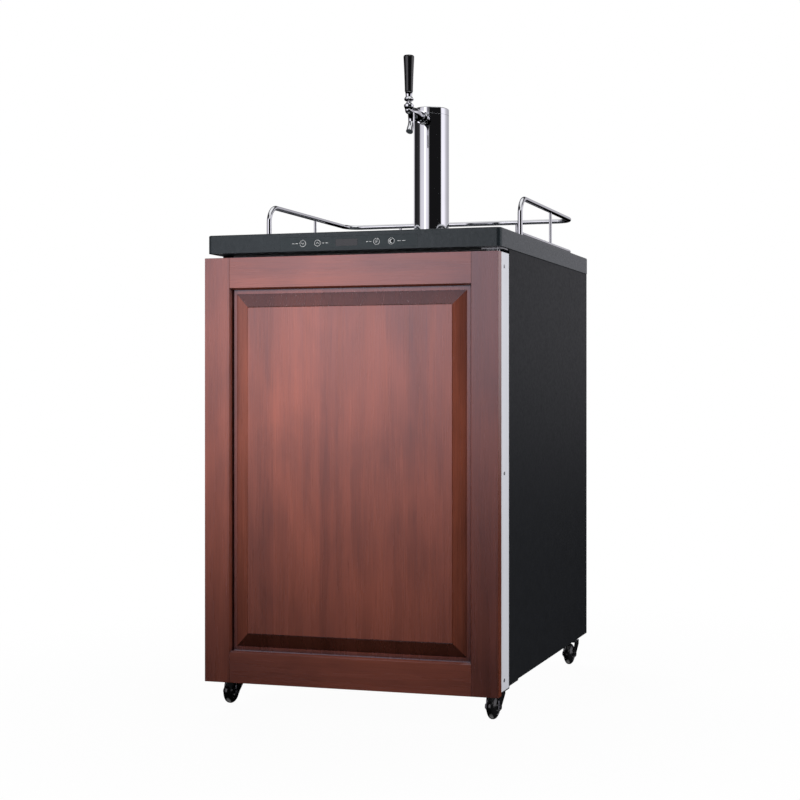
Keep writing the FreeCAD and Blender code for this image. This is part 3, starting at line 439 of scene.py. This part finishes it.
# ---------------------------------------------------------------- tap
TAP_Y, TAP_Z = -17 * MM, 1192 * MM
TOWER_FACE, SHANK_REACH = (121 - 38.1) * MM, 26 * MM
NOSE_RADIUS, NOSE_SET_BACK = 7.6 * MM, 1.2 * MM
SPOUT_Y, SPOUT_DROP, SPOUT_STEPS = TAP_Y + 12 * MM, 41 * MM, 22
SPOUT_BULGE, SPOUT_HOOK, HOOK_START, HOOK_POWER = 2.2 * MM, 9.5 * MM, 0.45, 1.6
LIP_START = 0.93


def tap():
    mouth = TOWER_FACE - SHANK_REACH - TAP_Y
    nose = arc((0, -NOSE_SET_BACK), NOSE_RADIUS, -math.pi / 2, 0.6, 14)
    shoulder = mm([(6.1, 5), (6.4, 11), (8.0, 16), (10.4, 21.5), (11.9, 28), (12.2, 34)])
    collar = [(r * MM, mouth + h * MM) for r, h in (
        (12.2, -12), (11.4, -10), (10.3, -8), (10.3, 6.9), (0, 6.9))]
    body = lathe(nose + shoulder + collar, (0, TAP_Y, TAP_Z), "Y")
    bonnet_seat = mm([(0, -3), (7.2, -3), (8.2, 2), (9.4, 6.5), (10.2, 7.4), (10.2, 9.4), (0, 9.4)])
    lathe(bonnet_seat, (0, TAP_Y, TAP_Z), model=body)
    start = Vector((0, SPOUT_Y + 1 * MM, TAP_Z - 2 * MM))
    path, radii = [], []
    for i in range(SPOUT_STEPS + 1):
        t = i / SPOUT_STEPS
        bulge = SPOUT_BULGE * math.sin(math.pi * min(1, t * 1.3))
        hook = SPOUT_HOOK * max(0.0, t - HOOK_START) ** HOOK_POWER / (1 - HOOK_START) ** HOOK_POWER
        path.append(start + Vector((0, bulge - hook, -SPOUT_DROP * t)))
        if t < LIP_START:
            radii.append((6.9 + 0.3 * math.cos(2 * math.pi * t)) * MM)
        else:
            radii.append((7.1 + 5 * (t - LIP_START)) * MM)
    sweep(path, radii, 48, body)
    piece("faucet_casting", to_mesh("faucet_casting", body), "faucet_body")


tap()

GRIP_STEPS, GRIP_BASE, GRIP_HEIGHT, GRIP_FLARE = 26, 1.4, 68.6, 1.35


def handle():
    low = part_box("tap_handle")[0]
    flare = [(8.55 + 2.65 * t ** GRIP_FLARE, GRIP_BASE + GRIP_HEIGHT * t)
             for t in (i / GRIP_STEPS for i in range(GRIP_STEPS + 1))]
    profile = [(0, 0), (7.6, 0), (8.5, 0.7)] + flare + [
        (11.3, 71.8), (11.2, 73.4), (10.6, 74.8), (9.4, 75.7), (7.0, 76), (0, 76)]
    grip = lathe(mm(profile), (0, TAP_Y, low.z), segments=160)
    piece("tap_grip", to_mesh("tap_grip", grip, SHARP_ON_GRIP), "tap_handle")
    low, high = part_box("handle_ferrule")
    height = high.z - low.z
    bell = mm([(0, 0), (6.3, 0), (6.8, 0.5), (7.0, 1.4), (6.7, 2.6), (7.0, 7), (7.7, 10)])
    rim = [(7.9 * MM, height - 0.7 * MM), (7.6 * MM, height), (0, height)]
    piece("tap_ferrule", to_mesh("tap_ferrule", lathe(bell + rim, (0, TAP_Y, low.z))), "handle_ferrule")


handle()


# ---------------------------------------------------------------- marks on the keys and beside them
PRINT_THICK, LINE, BAR = 0.12 * MM, 0.9 * MM, 1.1 * MM
RING_OUTER, RING_INNER, RING_SEGMENTS = 6.3 * MM, 5.5 * MM, 64
KEYS = ("key_down", "key_up", "key_unit", "key_night")


def flat_shape(points, y_front, model):
    """A closed outline in X and Z, raised from a face that looks along -Y."""
    front = [model.verts.new((x, y_front - PRINT_THICK, z)) for x, z in points]
    back = [model.verts.new((x, y_front, z)) for x, z in points]
    count = len(points)
    model.faces.new(front[::-1])
    model.faces.new(back)
    for i in range(count):
        j = (i + 1) % count
        model.faces.new((front[i], front[j], back[j], back[i]))


def band(points, width, y_front, model):
    """A line of some width through points in X and Z, in straight pieces that overlap at the corners."""
    for (x0, z0), (x1, z1) in zip(points, points[1:]):
        along = Vector((x1 - x0, z1 - z0)).normalized()
        ahead, side = along * width * 0.35, Vector((-along.y, along.x)) * width / 2
        a, b = Vector((x0, z0)) - ahead, Vector((x1, z1)) + ahead
        flat_shape([tuple(corner) for corner in (a + side, b + side, b - side, a - side)], y_front, model)


def ring_mark(x, z, y_front, model):
    loops = []
    for radius in (RING_OUTER, RING_INNER):
        for depth in (PRINT_THICK, 0.0):
            y = y_front - depth
            loops.append([model.verts.new((x + radius * math.cos(a), y, z + radius * math.sin(a)))
                          for a in circle(RING_SEGMENTS)])
    out_front, out_back, in_front, in_back = loops
    for first, second in ((out_front, in_front), (in_front, in_back), (in_back, out_back),
                          (out_back, out_front)):
        for i in range(RING_SEGMENTS):
            j = (i + 1) % RING_SEGMENTS
            model.faces.new((first[i], first[j], second[j], second[i]))


def key_mark(key):
    low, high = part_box(key)
    x, z, front = (low.x + high.x) / 2, (low.z + high.z) / 2, low.y
    model = bmesh.new()
    ring_mark(x, z, front, model)
    if key in ("key_down", "key_up"):
        tip = -1.6 * MM if key == "key_down" else 1.6 * MM
        wing = 2.6 * MM
        band([(x - wing, z - tip * 0.8), (x, z + tip), (x + wing, z - tip * 0.8)], LINE, front, model)
    elif key == "key_unit":
        stem, bar_end, bar_top = x - 1.4 * MM, x + 2.6 * MM, z + 2.8 * MM
        band([(stem, z - 3.0 * MM), (stem, bar_top), (bar_end, bar_top)], LINE, front, model)
        band([(stem, z + 0.1 * MM), (x + 1.8 * MM, z + 0.1 * MM)], LINE, front, model)
    else:
        outer = arc((x, z), 3.6 * MM, math.radians(50), math.radians(310), 24)
        inner = arc((x + 1.7 * MM, z), 2.9 * MM, math.radians(290), math.radians(70), 24)
        flat_shape(outer + inner, front, model)
    piece(key + "_mark", to_mesh(key + "_mark", model), [], PRINT_WHITE, "fascia_black", key)


def fascia_marks():
    """A pair of short bars stands where each key has its label."""
    model = bmesh.new()
    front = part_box("control_fascia")[0].y
    z = (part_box("key_up")[0].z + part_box("key_up")[1].z) / 2
    for x, length in mm([(-112, 11), (-51, 11), (38, 10), (103, 15)]):
        band([(x - length / 2, z), (x - length * 0.14, z)], BAR, front, model)
        band([(x + length * 0.12, z), (x + length / 2, z)], BAR, front, model)
    piece("fascia_marks", to_mesh("fascia_marks", model), [], PRINT_WHITE, "fascia_black", "cabinet")


for key_name in KEYS:
    key_mark(key_name)
fascia_marks()


# ---------------------------------------------------------------- casters
AXLE_BORE, HUB, HUB_EDGE, WEB = 3.06 * MM, 7.6 * MM, 8.4 * MM, 13.2 * MM
TREAD_DROP, TREAD_POWER, TREAD_STEPS = 8.5 * MM, 2.6, 20


def caster_looks(corner):
    """A wheel with a rounded tread and a raised hub, and a dark metal finish on its fork."""
    low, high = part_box(f"caster_wheel_{corner}")
    centre = (low + high) / 2
    radius, half = (high.z - low.z) / 2, (high.x - low.x) / 2
    side = [(AXLE_BORE, -half), (HUB, -half), (HUB_EDGE, -half + 1.4 * MM), (WEB, -half + 1.6 * MM)]
    tread = [(radius - TREAD_DROP * abs(t) ** TREAD_POWER, (half - 0.6 * MM) * t)
             for t in (-1 + 2 * i / TREAD_STEPS for i in range(TREAD_STEPS + 1))]
    wheel = lathe(side + tread + [(r, -h) for r, h in reversed(side)], centre, "X")
    piece(f"wheel_{corner}_tread", to_mesh(f"wheel_{corner}_tread", wheel), f"caster_wheel_{corner}")
    NODES[f"caster_fork_{corner}"].data.materials[0] = FORK_BLACK


for corner_name in ("front_left", "front_right", "rear_left", "rear_right"):
    caster_looks(corner_name)


# ---------------------------------------------------------------- floor, light and camera
FLOOR_LEVEL, FLOOR_RINGS = -1 * MM, (0.0, 1.0, 3.0, 10.0, 60.0)
PANEL_STRENGTH, FILL_STRENGTH = 2.2, 0.09


def floor():
    """A pale floor that stays bright, with only a soft shadow under the object."""
    shader = Shader("floor_pale")
    place = shader.coordinates()
    drift = shader.noise(place, 3.0, 3.0)
    paint = shader.ramp(drift, [(NOISE_LOW, (0.88,) * 3), (NOISE_HIGH, (0.92,) * 3)])
    lit = shader.add("ShaderNodeBsdfDiffuse", {"Color": paint})
    glow = shader.add("ShaderNodeEmission", {"Color": (1, 1, 1, 1), "Strength": 1.0})
    away = shader.add("ShaderNodeVectorMath", {0: place}, operation="LENGTH").outputs["Value"]
    shader.show(shader.add("ShaderNodeMixShader", {0: shader.spread(away, 0.5, 1.3, 0.97, 1.0),
                                                   1: lit.outputs[0], 2: glow.outputs[0]}),
                "ShaderNodeOutputMaterial")
    mesh = stored("floor", lathe([(r, FLOOR_LEVEL) for r in FLOOR_RINGS], (0, 0, 0), segments=64))
    mesh.materials.append(shader.data)
    plane = bpy.data.objects.new("floor", mesh)
    collection.objects.link(plane)
    plane.visible_glossy = False
    plane.visible_diffuse = False


def studio():
    """Light and dark panels all round, as in a product studio, and white behind the object."""
    shader = Shader("studio", world=True)
    direction = shader.add("ShaderNodeTexCoord").outputs["Generated"]
    x, y, z = shader.add("ShaderNodeSeparateXYZ", {0: direction}).outputs
    bearing = shader.math("ARCTAN2", x, shader.math("MULTIPLY", y, -1.0))
    around = shader.spread(bearing, -math.pi, math.pi, 0.0, 1.0)
    height = shader.spread(shader.math("ARCSINE", z), -math.pi / 2, math.pi / 2, 0.0, 1.0)

    def by_bearing(*stops, tint=(1, 1, 1)):
        return shader.ramp(around, [((degrees + 180) / 360, tuple(value * t for t in tint))
                                    for degrees, value in stops])

    def by_height(*stops):
        return shader.ramp(height, [((degrees + 90) / 180, (value,) * 3) for degrees, value in stops])

    panels = by_bearing((-180, 0.20), (-150, 0.25), (-128, 0.25), (-118, 0.004), (-64, 0.015), (-56, 0.33),
                        (-29, 0.38), (-25, 0.92), (-21, 0.95), (-17, 0.45), (0, 0.33), (6, 0.004),
                        (84, 0.004), (89, 0.50), (112, 0.50), (128, 0.30), (150, 0.20), (165, 0.24),
                        (180, 0.20), tint=(1, 0.97, 1.04))
    walls = by_height((-90, 0.0), (-4, 0.0), (2.5, 1.0), (24, 1.0), (33, 0.05), (90, 0.05))
    ceiling = by_height((-90, 0.0), (46, 0.0), (62, 0.42), (90, 0.46))
    pale_floor = by_height((-90, 0.40), (-66, 0.35), (-55, 0.0))
    box_sides = by_bearing((8, 0.0), (20, 0.45), (62, 0.45), (76, 0.0))
    box_ends = by_height((24, 0.0), (30, 1.0), (52, 1.0), (58, 0.0))
    light = shader.blend(1.0, shader.blend(1.0, panels, walls, "MULTIPLY"), ceiling, "ADD")
    light = shader.blend(1.0, light, pale_floor, "ADD")
    light = shader.blend(1.0, light, shader.blend(1.0, box_sides, box_ends, "MULTIPLY"), "ADD")
    path = shader.add("ShaderNodeLightPath").outputs
    seen = shader.add("ShaderNodeBackground", {"Color": light, "Strength": PANEL_STRENGTH})
    fill = shader.add("ShaderNodeBackground", {"Color": (0.95, 0.97, 1.0, 1), "Strength": FILL_STRENGTH})
    backdrop = shader.add("ShaderNodeBackground", {"Color": (1, 1, 1, 1), "Strength": 1.0})
    bounced = shader.add("ShaderNodeMixShader", {0: path["Is Glossy Ray"], 1: fill.outputs[0],
                                                 2: seen.outputs[0]})
    shader.show(shader.add("ShaderNodeMixShader", {0: path["Is Camera Ray"], 1: bounced.outputs[0],
                                                   2: backdrop.outputs[0]}), "ShaderNodeOutputWorld")
    shader.data.cycles.sampling_method = "NONE"
    scene.world = shader.data


def lamp(name, place, target, power, size=None, cone=None):
    """A soft panel, or a soft spot when a cone angle is given."""
    data = bpy.data.lights.new(name, "SPOT" if cone else "AREA")
    if cone:
        data.spot_size, data.spot_blend, data.shadow_soft_size = math.radians(cone), 1.0, 0.3
    else:
        data.shape, data.size, data.size_y = "RECTANGLE", *size
    data.energy = power
    thing = bpy.data.objects.new(name, data)
    thing.location = place
    thing.rotation_euler = (Vector(target) - Vector(place)).to_track_quat("-Z", "Y").to_euler()
    thing.visible_glossy = False
    collection.objects.link(thing)


def camera(place, bearing, lens, shift):
    """A level camera in front of the door and off to its right."""
    data = bpy.data.cameras.new("view")
    data.sensor_width, data.lens = 36, lens
    data.shift_x, data.shift_y = shift
    thing = bpy.data.objects.new("view", data)
    thing.location = place
    thing.rotation_euler = (math.pi / 2, 0, math.radians(bearing))
    collection.objects.link(thing)
    scene.camera = thing


floor()
studio()
lamp("front_spot", (-0.9, -2.2, 1.55), (-0.07, -0.34, 0.62), 274, cone=25)
lamp("rear_panel", (-1.7, 2.2, 1.7), (0, 0.2, 0.5), 75, size=(1.6, 1.2))
lamp("right_panel", (2.4, -0.3, 0.8), (0.3, -0.3, 0.55), 40, size=(1.2, 1.4))
camera((1.0764, -2.8619, 0.607), bearing=15.42, lens=65.5, shift=(-0.18, -0.0103))
scene.view_settings.view_transform = "Standard"
